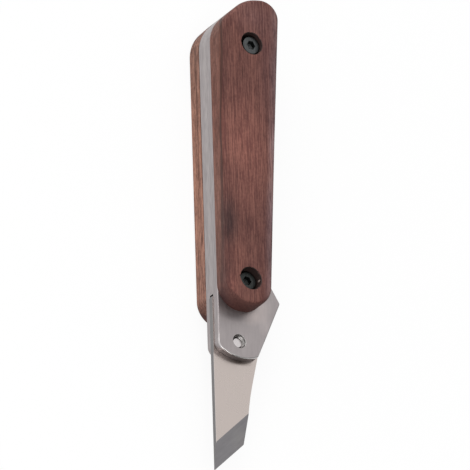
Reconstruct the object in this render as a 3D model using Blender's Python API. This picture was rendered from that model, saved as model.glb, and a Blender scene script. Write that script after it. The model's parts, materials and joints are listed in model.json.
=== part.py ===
"""A folding paring knife for leather: a skew blade on a friction pivot between two steel plates,
which a spacer holds apart along the spine and the butt, with a wooden scale screwed to each plate.

The knife lies open on its back scale. X runs from the spine to the palm side, Y from the blade to
the butt and Z up out of the front scale. Outlines are drawn round the pivot axis.
"""

import math

import bmesh
import bpy
from mathutils import Matrix, Vector

# Everything below is in millimetres until it becomes a mesh.
MM = 0.001

# Thicknesses of the stack, from the rest face upwards.
SCALE_THICKNESS = 7.49
PLATE_THICKNESS = 3.0
BLADE_THICKNESS = 2.0
WASHER_THICKNESS = 0.05
# Air on each face of a washer and round the pivot, so that the blade turns.
RUNNING_GAP = 0.03
# Air between two flat faces that are clamped together.
SEAM = 0.02

# Handle outline, measured from the pivot axis.
SPINE = 8.7
# The back scale reaches a little further down than the front one.
FRONT_SCALE_END = 11.8
BACK_SCALE_END = 10.8
# The palm edge is very slightly hollow: its distance by the finger guard, at its waist and at the butt.
PALM_LOW = 9.6
PALM_WAIST = 12.8
PALM_TOP = 16.8
PALM_LOW_HEIGHT = 11.5
PALM_WAIST_HEIGHT = 70.0
PALM_WAIST_RADIUS = 2500.0
# The butt is highest at the palm, and drops to the spine over a blunt corner, its crown.
BUTT = 135.6
BUTT_PALM_RADIUS = 6.7
CROWN_X = 2.3
CROWN_DROP = 2.25
CROWN_RADIUS = 14.8
BUTT_SPINE_DROP = 13.45
BUTT_SPINE_RADIUS = 14.7
# The straight stretch that is left between the two round corners of a scale's lower end.
LOW_FLAT = 0.6
SCALE_ROUNDING = 1.5

# Finger guard on the palm side of the plates.
GUARD_REACH = 17.4
GUARD_HEIGHT = 18.1
GUARD_LEAN = math.radians(31)
GUARD_CORNER = 1.0
GUARD_FILLET = 3.0

# Nose of the plates, below the pivot.
NOSE_SPINE_DROP = 3.4
NOSE_DROP = 7.65
NOSE_X = 0.4
NOSE_PALM = 7.75
NOSE_PALM_DROP = 4.8
NOSE_SPINE_RADIUS = 3.6
NOSE_RADIUS = 15.0
NOSE_PALM_RADIUS = 1.2
PLATE_ROUNDING = 0.5

# Blade, open: its point is straight below the spine.
BLADE_SPINE = 9.1
POINT = 50.4
HEEL = 3.4
EDGE_SKEW = math.radians(45)
BEVEL_WIDTH = 7.4
EDGE_LAND = 0.06
WAIST_X = 5.55
WAIST_DROP = 19.6
WAIST_RADIUS = 90.0
SHOULDER_X = 9.4
SHOULDER_DROP = 2.4
SHOULDER_RADIUS = 4.0
TANG_X = 8.2
TANG_HEIGHT = 8.0
TANG_RADIUS = 6.5
TAIL_X = 1.2
TAIL_ROOT = 9.4
TAIL_ROOT_RADIUS = 5.0
TAIL_END = 17.5
TAIL_RADIUS = 3.0
TAIL_SPINE_RADIUS = 0.9

# Spacer: its lower end stops the tail, and its inner side clears the folded blade.
STOP_GAP = 0.5
POCKET_GAP = 0.6
BUTT_BAND = 8.5
SPACER_RADIUS = 14.0

# Scale screws: the lower one is measured from the pivot, the upper one down from the butt.
LOWER_SCREW_X = 1.2
LOWER_SCREW_HEIGHT = 22.0
LOWER_SCREW_RECESS = 2.7
UPPER_SCREW_X = 4.5
UPPER_SCREW_DROP = 19.8
UPPER_SCREW_RECESS = 1.5
# How far the front upper screw stands beside the middle of its hand-drilled counterbore.
UPPER_SCREW_SHIFT = 0.6
SCREW_RADIUS = 2.0
SCREW_HEAD_RADIUS = 3.5
SCREW_HEAD = 4.0
SCREW_CHAMFER = 0.3
SCREW_HEX = 3.0
SCREW_HEX_DEPTH = 2.0
SCREW_HOLD = 2.7
HEAD_GAP = 0.75
SHANK_GAP = 0.15
THREAD_GAP = 0.05

# Pivot screw: a countersunk head in the back plate, a recessed end in the front plate.
PIVOT_RADIUS = 2.5
PIVOT_HEAD_RADIUS = 4.6
PIVOT_HEAD_LAND = 0.3
PIVOT_HEAD_RECESS = 0.1
PIVOT_HEX = 3.0
PIVOT_HEX_DEPTH = 1.8
PIVOT_END_RECESS = 1.7
PIVOT_END_CHAMFER = 0.6
WASHER_RADIUS = 5.0

# Rivets through the plates and the spacer, under the scales.
RIVET_RADIUS = 1.2
RIVET_HEAD_RADIUS = 1.7
LOWER_RIVET_HEIGHT = 46.0
UPPER_RIVET_DROP = 23.5
BUTT_RIVET_X = 10.0

# Fineness of round shapes.
ARC_STEP = math.radians(6)
CIRCLE_POINTS = 48
SCALE_ROUNDING_STEPS = 6
PLATE_ROUNDING_STEPS = 2
# How far a cutter runs past the faces that it cuts through.
CUT_PAST = 1.0

# Heights of the faces.
SLOT = BLADE_THICKNESS + 2 * (WASHER_THICKNESS + 2 * RUNNING_GAP)
BACK_PLATE_LOW = SCALE_THICKNESS + SEAM
SLOT_LOW = BACK_PLATE_LOW + PLATE_THICKNESS
SLOT_HIGH = SLOT_LOW + SLOT
FRONT_PLATE_HIGH = SLOT_HIGH + PLATE_THICKNESS
FRONT_SCALE_LOW = FRONT_PLATE_HIGH + SEAM
FRONT_SCALE_HIGH = FRONT_SCALE_LOW + SCALE_THICKNESS
BLADE_LOW = SLOT_LOW + (SLOT - BLADE_THICKNESS) / 2
BLADE_HIGH = BLADE_LOW + BLADE_THICKNESS


def clear_scene():
    for thing in list(bpy.data.objects):
        bpy.data.objects.remove(thing, do_unlink=True)


def palm_slope_low():
    return (PALM_WAIST - PALM_LOW) / (PALM_WAIST_HEIGHT - PALM_LOW_HEIGHT)


def palm_edge_low(height):
    """How far the palm edge stands from the pivot axis at a height below its waist."""
    return PALM_LOW + palm_slope_low() * (height - PALM_LOW_HEIGHT)


def palm_edge_high(height):
    """The same above the waist."""
    slope = (PALM_TOP - PALM_WAIST) / (BUTT - PALM_WAIST_HEIGHT)
    return PALM_WAIST + slope * (height - PALM_WAIST_HEIGHT)


def rounded_outline(corners):
    """Points of a closed outline whose corners, each (x, y, radius), are turned into arcs."""
    points = []
    for index, (x, y, radius) in enumerate(corners):
        corner = Vector((x, y))
        before = (Vector(corners[index - 1][:2]) - corner).normalized()
        after = (Vector(corners[(index + 1) % len(corners)][:2]) - corner).normalized()
        if radius == 0:
            points.append(corner)
            continue
        turn = math.pi - before.angle(after)
        start = corner + before * radius * math.tan(turn / 2)
        centre = corner + (before + after).normalized() * radius / math.cos(turn / 2)
        steps = max(1, round(turn / ARC_STEP))
        sweep = turn if before.cross(after) < 0 else -turn
        for step in range(steps + 1):
            points.append(centre + Matrix.Rotation(sweep * step / steps, 2) @ (start - centre))
    return points


def inset(corners, depth):
    """The same corners moved inwards: outer corners lose that much radius, and inner ones gain it."""
    moved = []
    for index, (x, y, radius) in enumerate(corners):
        corner = Vector((x, y))
        before = (corner - Vector(corners[index - 1][:2])).normalized()
        after = (Vector(corners[(index + 1) % len(corners)][:2]) - corner).normalized()
        across = before.orthogonal() + after.orthogonal()
        corner += across * depth / (1 + before.dot(after))
        moved.append((corner.x, corner.y, radius - math.copysign(depth, before.cross(after))))
    return moved


def circle(radius):
    angles = [2 * math.pi * step / CIRCLE_POINTS for step in range(CIRCLE_POINTS)]
    return [Vector((radius * math.cos(angle), radius * math.sin(angle))) for angle in angles]


def hexagon(across_flats):
    """A hexagon with as many points as a circle, so that a socket's mouth joins a round head."""
    points = []
    for point in circle(1.0):
        angle = math.atan2(point.y, point.x) % (math.pi / 3)
        points.append(point * across_flats / 2 / math.cos(angle - math.pi / 6))
    return points


def loft(rings, closed=False):
    """A mesh through rings of equally many points, each ring (points, height), in their order."""
    mesh = bmesh.new()
    loops = [[mesh.verts.new((x * MM, y * MM, height * MM)) for x, y in points] for points, height in rings]
    pairs = list(zip(loops, loops[1:]))
    if closed:
        pairs.append((loops[-1], loops[0]))
    else:
        mesh.faces.new(loops[0])
        mesh.faces.new(loops[-1])
    for lower, upper in pairs:
        for index in range(len(lower)):
            mesh.faces.new((lower[index - 1], lower[index], upper[index], upper[index - 1]))
    bmesh.ops.recalc_face_normals(mesh, faces=mesh.faces)
    return mesh


def turned(profile):
    """A mesh of rings on the Z axis, each (radius, height)."""
    return loft([(circle(radius), height) for radius, height in profile])


def slab(corners, inner, outer, rounding, steps):
    """A mesh between two heights, with a quarter round along the edge of its outer face."""
    side = outer - math.copysign(rounding, outer - inner)
    rings = [(rounded_outline(corners), inner)]
    for step in range(steps + 1):
        angle = math.pi / 2 * step / steps
        points = rounded_outline(inset(corners, rounding * (1 - math.cos(angle))))
        rings.append((points, side + (outer - side) * math.sin(angle)))
    return loft(rings)


def place(name, mesh, axis, x=0.0, y=0.0, z=0.0, upside_down=False):
    """An object of this mesh, set down relative to the pivot axis."""
    data = bpy.data.meshes.new(name)
    mesh.to_mesh(data)
    mesh.free()
    data.shade_smooth()
    data.set_sharp_from_angle(angle=math.radians(25))
    piece = bpy.data.objects.new(name, data)
    bpy.context.collection.objects.link(piece)
    piece.parent = axis
    piece.location = (x * MM, y * MM, z * MM)
    if upside_down:
        piece.rotation_euler = (math.pi, 0, 0)
    return piece


def finish(piece, colour, roughness, metallic):
    material = bpy.data.materials.new(piece.name)
    material.use_nodes = True
    shader = material.node_tree.nodes["Principled BSDF"]
    shader.inputs["Base Color"].default_value = (*colour, 1)
    shader.inputs["Roughness"].default_value = roughness
    shader.inputs["Metallic"].default_value = metallic
    piece.data.materials.append(material)


def wood(piece):
    finish(piece, (0.16, 0.078, 0.062), 0.6, 0.0)


def brushed_steel(piece):
    finish(piece, (0.33, 0.32, 0.32), 0.4, 1.0)


def polished_steel(piece):
    finish(piece, (0.5, 0.47, 0.44), 0.25, 1.0)


def blackened_steel(piece):
    finish(piece, (0.02, 0.021, 0.021), 0.45, 0.6)


def bronze(piece):
    finish(piece, (0.45, 0.27, 0.12), 0.4, 1.0)


def cut(piece, cutter):
    cutter.hide_render = True
    cutter.display_type = "WIRE"
    hole = piece.modifiers.new(cutter.name, "BOOLEAN")
    hole.operation = "DIFFERENCE"
    hole.solver = "EXACT"
    hole.object = cutter


# Outlines, all counter-clockwise seen from the front.


def butt_corners():
    """The corners of the butt, from the palm to the spine: every layer but the blade has them."""
    return [
        (PALM_TOP, BUTT, BUTT_PALM_RADIUS),
        (CROWN_X, BUTT - CROWN_DROP, CROWN_RADIUS),
        (-SPINE, BUTT - BUTT_SPINE_DROP, BUTT_SPINE_RADIUS),
    ]


def waist_corner():
    return (PALM_WAIST, PALM_WAIST_HEIGHT, PALM_WAIST_RADIUS)


def scale_corners(end):
    palm = palm_edge_low(end)
    low_radius = (SPINE + palm - LOW_FLAT) / 2
    low_corners = [(-SPINE, end, low_radius), (palm, end, low_radius)]
    return low_corners + [waist_corner()] + butt_corners()


def plate_corners():
    guard_overhang = GUARD_REACH - palm_edge_low(GUARD_HEIGHT)
    guard_top = GUARD_HEIGHT + guard_overhang / (math.tan(GUARD_LEAN) + palm_slope_low())
    low_corners = [
        (-SPINE, -NOSE_SPINE_DROP, NOSE_SPINE_RADIUS),
        (NOSE_X, -NOSE_DROP, NOSE_RADIUS),
        (NOSE_PALM, -NOSE_PALM_DROP, NOSE_PALM_RADIUS),
        (GUARD_REACH, GUARD_HEIGHT, GUARD_CORNER),
        (palm_edge_low(guard_top), guard_top, GUARD_FILLET),
    ]
    return low_corners + [waist_corner()] + butt_corners()


def heel_drop():
    return POINT - (BLADE_SPINE + HEEL) * math.tan(EDGE_SKEW)


def blade_outline():
    return rounded_outline(
        [
            (-BLADE_SPINE, -POINT, 0),
            (HEEL, -heel_drop(), 0),
            (WAIST_X, -WAIST_DROP, WAIST_RADIUS),
            (SHOULDER_X, -SHOULDER_DROP, SHOULDER_RADIUS),
            (TANG_X, TANG_HEIGHT, TANG_RADIUS),
            (-TAIL_X, TAIL_ROOT, TAIL_ROOT_RADIUS),
            (-TAIL_X, TAIL_END, TAIL_RADIUS),
            (-BLADE_SPINE, TAIL_END, TAIL_SPINE_RADIUS),
        ]
    )


def spacer_outline():
    """Outside it follows the plates. Inside it follows the folded blade, turned half round the pivot."""
    low = TAIL_END + STOP_GAP
    inner_low = WAIST_X + (WAIST_DROP - low) * (SHOULDER_X - WAIST_X) / (WAIST_DROP - SHOULDER_DROP)
    strip = HEEL + POCKET_GAP
    band_low = BUTT - BUTT_BAND
    inner_corners = [
        (-SPINE, low, 0),
        (-inner_low - POCKET_GAP, low, 0),
        (-WAIST_X - POCKET_GAP, WAIST_DROP, 0),
        (-strip, heel_drop(), 0),
        (-strip, band_low, SPACER_RADIUS),
        (palm_edge_high(band_low), band_low, 0),
    ]
    return rounded_outline(inner_corners + butt_corners())


# Pieces.


def make_scale(name, axis, end, inner, outer):
    scale = place(name, slab(scale_corners(end), inner, outer, SCALE_ROUNDING, SCALE_ROUNDING_STEPS), axis)
    wood(scale)
    return scale


def make_plate(name, axis, inner, outer):
    plate = place(name, slab(plate_corners(), inner, outer, PLATE_ROUNDING, PLATE_ROUNDING_STEPS), axis)
    brushed_steel(plate)
    return plate


def make_spacer(axis):
    mesh = loft([(spacer_outline(), SLOT_LOW + SEAM), (spacer_outline(), SLOT_HIGH - SEAM)])
    spacer = place("spine_spacer", mesh, axis)
    brushed_steel(spacer)
    return spacer


def make_blade(axis):
    """The bevel is one flat cut through the front face, which leaves a fine land along the edge."""
    mesh = loft([(blade_outline(), BLADE_LOW), (blade_outline(), BLADE_HIGH)])
    along = Vector((math.cos(EDGE_SKEW), math.sin(EDGE_SKEW), 0))
    across = Vector((-math.sin(EDGE_SKEW), math.cos(EDGE_SKEW), 0))
    up_the_bevel = across * BEVEL_WIDTH + Vector((0, 0, BLADE_THICKNESS - EDGE_LAND))
    bmesh.ops.bisect_plane(
        mesh,
        geom=mesh.verts[:] + mesh.edges[:] + mesh.faces[:],
        plane_co=Vector((-BLADE_SPINE, -POINT, BLADE_LOW + EDGE_LAND)) * MM,
        plane_no=along.cross(up_the_bevel),
        clear_outer=True,
    )
    bmesh.ops.holes_fill(mesh, edges=mesh.edges)
    bmesh.ops.recalc_face_normals(mesh, faces=mesh.faces)
    blade = place("blade", mesh, axis)
    polished_steel(blade)
    return blade


def make_pivot_screw(axis):
    head_low = BACK_PLATE_LOW + PIVOT_HEAD_RECESS
    cone_low = head_low + PIVOT_HEAD_LAND
    end = FRONT_PLATE_HIGH - PIVOT_END_RECESS
    mesh = loft(
        [
            (hexagon(PIVOT_HEX), head_low + PIVOT_HEX_DEPTH),
            (hexagon(PIVOT_HEX), head_low),
            (circle(PIVOT_HEAD_RADIUS), head_low),
            (circle(PIVOT_HEAD_RADIUS), cone_low),
            (circle(PIVOT_RADIUS), cone_low + PIVOT_HEAD_RADIUS - PIVOT_RADIUS),
            (circle(PIVOT_RADIUS), end - PIVOT_END_CHAMFER),
            (circle(PIVOT_RADIUS - PIVOT_END_CHAMFER), end),
        ]
    )
    brushed_steel(place("pivot_screw", mesh, axis))


def make_pivot_hole(axis):
    """The hole for the pivot screw through the back plate, the blade and the front plate."""
    cone_low = BACK_PLATE_LOW + PIVOT_HEAD_RECESS + PIVOT_HEAD_LAND
    mesh = turned(
        [
            (PIVOT_HEAD_RADIUS + RUNNING_GAP, BACK_PLATE_LOW - CUT_PAST),
            (PIVOT_HEAD_RADIUS + RUNNING_GAP, cone_low),
            (PIVOT_RADIUS + RUNNING_GAP, cone_low + PIVOT_HEAD_RADIUS - PIVOT_RADIUS),
            (PIVOT_RADIUS + RUNNING_GAP, FRONT_PLATE_HIGH + CUT_PAST),
        ]
    )
    return place("pivot_hole", mesh, axis)


def make_washer(name, axis, low):
    hole = circle(PIVOT_RADIUS + RUNNING_GAP)
    rim = circle(WASHER_RADIUS)
    high = low + WASHER_THICKNESS
    bronze(place(name, loft([(hole, low), (rim, low), (rim, high), (hole, high)], closed=True), axis))


def make_scale_screw(name, axis, place_on_scale, outer, upside_down):
    """A socket-head screw, drawn down from the scale's outer face."""
    x, y, recess, shift = place_on_scale
    top = -recess
    seat = top - SCREW_HEAD
    end = -SCALE_THICKNESS - SEAM - SCREW_HOLD
    mesh = loft(
        [
            (circle(SCREW_RADIUS - SCREW_CHAMFER), end),
            (circle(SCREW_RADIUS), end + SCREW_CHAMFER),
            (circle(SCREW_RADIUS), seat),
            (circle(SCREW_HEAD_RADIUS), seat),
            (circle(SCREW_HEAD_RADIUS), top - SCREW_CHAMFER),
            (circle(SCREW_HEAD_RADIUS - SCREW_CHAMFER), top),
            (hexagon(SCREW_HEX), top),
            (hexagon(SCREW_HEX), top - SCREW_HEX_DEPTH),
        ]
    )
    blackened_steel(place(name, mesh, axis, x + shift, y, outer, upside_down))


def make_screw_hole(name, axis, place_on_scale, outer, upside_down):
    """The tapped hole in the plate and the clear hole in the scale, up into the counterbore."""
    x, y, recess, shift = place_on_scale
    joint = -SCALE_THICKNESS - SEAM / 2
    seat = -recess - SCREW_HEAD - SEAM
    mesh = turned(
        [
            (SCREW_RADIUS + THREAD_GAP, -SCALE_THICKNESS - SEAM - PLATE_THICKNESS - CUT_PAST),
            (SCREW_RADIUS + THREAD_GAP, joint),
            (SCREW_RADIUS + SHANK_GAP, joint),
            (SCREW_RADIUS + SHANK_GAP, seat + CUT_PAST),
        ]
    )
    return place(name, mesh, axis, x + shift, y, outer, upside_down)


def make_counterbore(name, axis, place_on_scale, outer, upside_down):
    x, y, recess, _ = place_on_scale
    radius = SCREW_HEAD_RADIUS + HEAD_GAP
    mesh = turned([(radius, -recess - SCREW_HEAD - SEAM), (radius, CUT_PAST)])
    return place(name, mesh, axis, x, y, outer, upside_down)


def make_rivet(name, axis, x, y):
    """A rivet with a flush countersunk head at each end."""
    head = RIVET_HEAD_RADIUS - RIVET_RADIUS
    mesh = turned(
        [
            (RIVET_HEAD_RADIUS, BACK_PLATE_LOW),
            (RIVET_RADIUS, BACK_PLATE_LOW + head),
            (RIVET_RADIUS, FRONT_PLATE_HIGH - head),
            (RIVET_HEAD_RADIUS, FRONT_PLATE_HIGH),
        ]
    )
    brushed_steel(place(name, mesh, axis, x, y))


def make_rivet_hole(name, axis, x, y):
    head = RIVET_HEAD_RADIUS - RIVET_RADIUS
    mesh = turned(
        [
            (RIVET_HEAD_RADIUS + THREAD_GAP, BACK_PLATE_LOW - CUT_PAST),
            (RIVET_HEAD_RADIUS + THREAD_GAP, BACK_PLATE_LOW),
            (RIVET_RADIUS + THREAD_GAP, BACK_PLATE_LOW + head),
            (RIVET_RADIUS + THREAD_GAP, FRONT_PLATE_HIGH - head),
            (RIVET_HEAD_RADIUS + THREAD_GAP, FRONT_PLATE_HIGH),
            (RIVET_HEAD_RADIUS + THREAD_GAP, FRONT_PLATE_HIGH + CUT_PAST),
        ]
    )
    return place(name, mesh, axis, x, y)


def rivet_places():
    """The rivets stand in the middle of the spacer's strip along the spine, and of its band at the butt."""
    strip_middle = -(SPINE + HEEL + POCKET_GAP) / 2
    upper = BUTT - UPPER_RIVET_DROP
    return {
        "lower_rivet": (strip_middle, LOWER_RIVET_HEIGHT),
        "middle_rivet": (strip_middle, (LOWER_RIVET_HEIGHT + upper) / 2),
        "upper_rivet": (strip_middle, upper),
        "butt_rivet": (BUTT_RIVET_X, BUTT - BUTT_BAND / 2),
    }


def screw_places(upper_shift):
    """Each counterbore's place, how deep the screw's head lies in it, and how far it stands to the side."""
    return {
        "lower": (LOWER_SCREW_X, LOWER_SCREW_HEIGHT, LOWER_SCREW_RECESS, 0),
        "upper": (UPPER_SCREW_X, BUTT - UPPER_SCREW_DROP, UPPER_SCREW_RECESS, upper_shift),
    }


def fasten(side, axis, places, plate, scale, outer, upside_down):
    """Screws a scale to its plate."""
    for end, place_on_scale in places.items():
        make_scale_screw(f"{side}_{end}_screw", axis, place_on_scale, outer, upside_down)
        hole = make_screw_hole(f"{side}_{end}_hole", axis, place_on_scale, outer, upside_down)
        cut(plate, hole)
        cut(scale, make_counterbore(f"{side}_{end}_bore", axis, place_on_scale, outer, upside_down))
        cut(scale, hole)


def make_pivot_axis():
    """The origin is on the rest face, half way between the two screws of the back scale."""
    axis = bpy.data.objects.new("pivot_axis", None)
    bpy.context.collection.objects.link(axis)
    axis.location.x = -(LOWER_SCREW_X + UPPER_SCREW_X) / 2 * MM
    axis.location.y = -(LOWER_SCREW_HEIGHT + BUTT - UPPER_SCREW_DROP) / 2 * MM
    return axis


def main():
    clear_scene()
    axis = make_pivot_axis()
    back_scale = make_scale("back_scale", axis, BACK_SCALE_END, SCALE_THICKNESS, 0)
    back_plate = make_plate("back_plate", axis, SLOT_LOW, BACK_PLATE_LOW)
    spacer = make_spacer(axis)
    blade = make_blade(axis)
    front_plate = make_plate("front_plate", axis, SLOT_HIGH, FRONT_PLATE_HIGH)
    front_scale = make_scale("front_scale", axis, FRONT_SCALE_END, FRONT_SCALE_LOW, FRONT_SCALE_HIGH)

    make_pivot_screw(axis)
    make_washer("back_washer", axis, SLOT_LOW + RUNNING_GAP)
    make_washer("front_washer", axis, BLADE_HIGH + RUNNING_GAP)
    pivot_hole = make_pivot_hole(axis)
    for piece in (back_plate, blade, front_plate):
        cut(piece, pivot_hole)

    for name, (x, y) in rivet_places().items():
        make_rivet(name, axis, x, y)
        hole = make_rivet_hole(name + "_hole", axis, x, y)
        for piece in (back_plate, spacer, front_plate):
            cut(piece, hole)

    front_places = screw_places(UPPER_SCREW_SHIFT)
    fasten("front", axis, front_places, front_plate, front_scale, FRONT_SCALE_HIGH, False)
    fasten("back", axis, screw_places(0), back_plate, back_scale, 0, True)


main()
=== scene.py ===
# %% [markdown]
# # A folding paring knife for leather
# The real knife is a stack: a wooden scale, a steel plate, the blade with its spacer, a second plate and
# a second scale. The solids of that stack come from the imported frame, which also knows how the blade
# folds. This lesson dresses them: it rebuilds each visible piece with the fine edges, threads and
# sockets that the eye expects, and gives every piece a finish made of shader nodes.

import json
import math

import bmesh
import bpy
from mathutils import Matrix, Vector


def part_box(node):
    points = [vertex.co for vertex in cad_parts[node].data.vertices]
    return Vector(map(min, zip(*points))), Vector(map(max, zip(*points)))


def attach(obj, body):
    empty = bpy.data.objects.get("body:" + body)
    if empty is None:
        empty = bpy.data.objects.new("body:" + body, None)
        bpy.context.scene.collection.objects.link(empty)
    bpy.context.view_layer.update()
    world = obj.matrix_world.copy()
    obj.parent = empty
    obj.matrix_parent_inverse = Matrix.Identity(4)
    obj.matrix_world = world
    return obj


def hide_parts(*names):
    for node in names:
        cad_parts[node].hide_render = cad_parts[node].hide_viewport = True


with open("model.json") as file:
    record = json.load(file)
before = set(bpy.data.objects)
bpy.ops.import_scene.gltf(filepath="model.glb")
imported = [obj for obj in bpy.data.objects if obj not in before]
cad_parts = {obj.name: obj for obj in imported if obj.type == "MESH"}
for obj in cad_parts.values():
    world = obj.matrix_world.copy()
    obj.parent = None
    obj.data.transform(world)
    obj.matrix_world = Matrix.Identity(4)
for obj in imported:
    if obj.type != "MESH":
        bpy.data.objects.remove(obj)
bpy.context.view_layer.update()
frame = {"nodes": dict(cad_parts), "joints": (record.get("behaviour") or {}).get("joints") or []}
scene = bpy.context.scene
print("solids from the frame:", ", ".join(sorted(frame["nodes"])))

# %% [markdown]
# ## Where things are
# A knife maker lays everything out from the pivot, because the blade, the plates and the spacer all turn
# or stand round it. The outlines here use the same layout, in millimetres from the pivot axis. The
# pivot's own place is read from the joint, so it can't drift away from the frame.

# %% Layout
MM = 0.001
pivot = Vector(frame["joints"][0]["pos_m"])


def level(node, end):
    """The lowest (0) or highest (1) face of a solid, in millimetres."""
    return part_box(node)[end].z / MM


print("pivot in mm:", [round(value / MM, 2) for value in pivot])

# %% [markdown]
# ## Outlines from corners
# Every flat piece of this knife is cut from sheet or board along an outline of straight lines and arcs. A
# short list of corners, each with its radius, says all of it, and an inward offset of the same list gives
# the rings for rounded edges. A traced outline would also do, but couldn't be made rounder or wider later.

# %% Corner tools
ARC_STEP = math.radians(3)


def neighbours(corners, index):
    corner = Vector(corners[index][:2])
    arriving = (corner - Vector(corners[index - 1][:2])).normalized()
    leaving = (Vector(corners[(index + 1) % len(corners)][:2]) - corner).normalized()
    return corner, arriving, leaving


def outline(corners):
    """Points round the outline, with an arc at each corner that has a radius."""
    points = []
    for index, (_, _, radius) in enumerate(corners):
        corner, arriving, leaving = neighbours(corners, index)
        if radius == 0:
            points.append(corner)
            continue
        turn = arriving.angle_signed(leaving)
        reach = radius * math.tan(abs(turn) / 2)
        start = corner - arriving * reach
        centre = start + arriving.orthogonal() * math.copysign(radius, -turn)
        steps = max(1, round(abs(turn) / ARC_STEP))
        for step in range(steps + 1):
            points.append(centre + Matrix.Rotation(-turn * step / steps, 2) @ (start - centre))
    return points


def inset(corners, depth):
    """The same corners moved inwards, with their arcs tightened or widened to stay parallel."""
    moved = []
    for index, (_, _, radius) in enumerate(corners):
        corner, arriving, leaving = neighbours(corners, index)
        across = arriving.orthogonal() + leaving.orthogonal()
        corner = corner + across * depth / (1 + arriving.dot(leaving))
        if radius > 0:
            radius -= math.copysign(depth, arriving.cross(leaving))
        moved.append((corner.x, corner.y, radius))
    return moved


print("arc step in degrees:", round(math.degrees(ARC_STEP)))


# %% Mesh tools
def piece_from(name, mesh, crease=30):
    """An object in the frame's place, smooth except where faces meet at more than the crease angle."""
    data = bpy.data.meshes.new(name)
    mesh.to_mesh(data)
    mesh.free()
    piece = bpy.data.objects.new(name, data)
    scene.collection.objects.link(piece)
    data.shade_smooth()
    data.set_sharp_from_angle(angle=math.radians(crease))
    return piece


def skin(rings, x=0.0, y=0.0):
    """A closed mesh through rings of equally many points, each ring (points, height) in millimetres."""
    mesh = bmesh.new()
    loops = []
    for points, height in rings:
        at = [(px + x + pivot.x / MM, py + y + pivot.y / MM, height) for px, py in points]
        loops.append([mesh.verts.new(Vector(point) * MM) for point in at])
    mesh.faces.new(loops[0])
    mesh.faces.new(loops[-1])
    for lower, upper in zip(loops, loops[1:]):
        for index in range(len(lower)):
            mesh.faces.new((lower[index - 1], lower[index], upper[index], upper[index - 1]))
    bmesh.ops.recalc_face_normals(mesh, faces=mesh.faces)
    return mesh


def bore(piece, *cutters):
    """Cuts holes, keeps the result as the piece's own mesh and throws the cutters away."""
    for cutter in cutters:
        hole = piece.modifiers.new(cutter.name, "BOOLEAN")
        hole.operation = "DIFFERENCE"
        hole.solver = "EXACT"
        hole.object = cutter
    settle(piece)
    for cutter in cutters:
        bpy.data.objects.remove(cutter, do_unlink=True)


def settle(piece):
    """Bakes the modifiers into the mesh. Large flat faces keep their own direction of shading."""
    weighted = piece.modifiers.new("flat faces stay flat", "WEIGHTED_NORMAL")
    weighted.keep_sharp = True
    bpy.context.view_layer.update()
    shown = piece.evaluated_get(bpy.context.evaluated_depsgraph_get())
    made = bpy.data.meshes.new_from_object(shown)
    piece.modifiers.clear()
    piece.data = made


def stands_for(piece, node, body):
    """Lets a piece take the place of a solid and move with its body."""
    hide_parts(node)
    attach(piece, body)
    print(f"{piece.name}: {len(piece.data.polygons)} faces, in place of {node}")


print("mesh tools ready")

# %% [markdown]
# ## Threads and turned parts
# Screws are turned on a lathe, so a list of radii along the axis describes them. A thread is the same
# list with a radius that also depends on the angle: the ridge climbs by one pitch in one turn. Blender's
# Screw modifier could wind a profile, but a radius rule also lets the thread fade out at the ends.

# %% Turning tools
ROUND = 72
KNURL_GROOVE = 0.965
RINGS_PER_TURN = 8
RUN_OUT = 0.25


def round_ring(reach):
    """Points round the axis, each as far out as a rule says for its angle."""
    angles = [math.tau * step / ROUND for step in range(ROUND)]
    return [(reach(angle) * math.cos(angle), reach(angle) * math.sin(angle)) for angle in angles]


def circle(radius):
    return round_ring(lambda angle: radius)


def knurl(radius):
    """A circle with a groove at every second point."""
    grooves = (1, KNURL_GROOVE)
    return [Vector(point) * grooves[index % 2] for index, point in enumerate(circle(radius))]


def hexagon(across_flats):
    """A hexagon of as many points as a circle, so that it joins round rings."""
    sixth = math.pi / 3
    return round_ring(lambda angle: across_flats / 2 / math.cos(angle % sixth - sixth / 2))


def thread_ring(height, radius, depth, pitch):
    """One ring of a thread. Its crest is the radius, and its groove is this deep."""
    def reach(angle):
        phase = (height / pitch - angle / math.tau) % 1
        return radius - depth * abs(2 * phase - 1)

    return round_ring(reach)


def thread_rings(low, high, radius, depth, pitch):
    """Rings of a thread from low to high that runs out at both ends."""
    count = max(2, round((high - low) / pitch * RINGS_PER_TURN))
    rings = []
    for step in range(count + 1):
        share = step / count
        groove = depth * min(1, share / RUN_OUT, (1 - share) / RUN_OUT)
        height = low + (high - low) * share
        rings.append((thread_ring(height, radius, groove, pitch), height))
    return rings


print("a circle has", ROUND, "points")

# %% [markdown]
# ## The handle's outlines
# Plates and scales share the spine, the palm edge and the butt, because the maker sands the whole stack
# together. Below that the plates go on into the finger guard and the nose, while the scales end in a
# half round above the pivot. One list of shared corners keeps them flush, as the sanding does.

# %% Handle corners
SPINE_X = -8.7
PALM_LOW = (9.6, 11.5)
PALM_WAIST = (12.8, 70.0)
PALM_SLOPE = (PALM_WAIST[0] - PALM_LOW[0]) / (PALM_WAIST[1] - PALM_LOW[1])
WAIST_RADIUS = 2500
BUTT_CORNERS = [(16.8, 135.58, 6.7), (2.3, 133.33, 14.8), (SPINE_X, 122.15, 14.7)]
UPPER_CORNERS = [(*PALM_WAIST, WAIST_RADIUS)] + BUTT_CORNERS
END_FLAT = 0.6
NOSE_CORNERS = [(SPINE_X, -3.4, 3.6), (0.4, -7.65, 15), (7.75, -4.8, 1.2)]
GUARD_TIP = Vector((17.4, 18.1))
GUARD_TIP_RADIUS = 1.0
GUARD_ROOT_RADIUS = 3.0
GUARD_ANGLE = math.radians(31)


def palm_edge(height):
    """How far the palm side stands out below its waist."""
    return PALM_WAIST[0] - PALM_SLOPE * (PALM_WAIST[1] - height)


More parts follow.
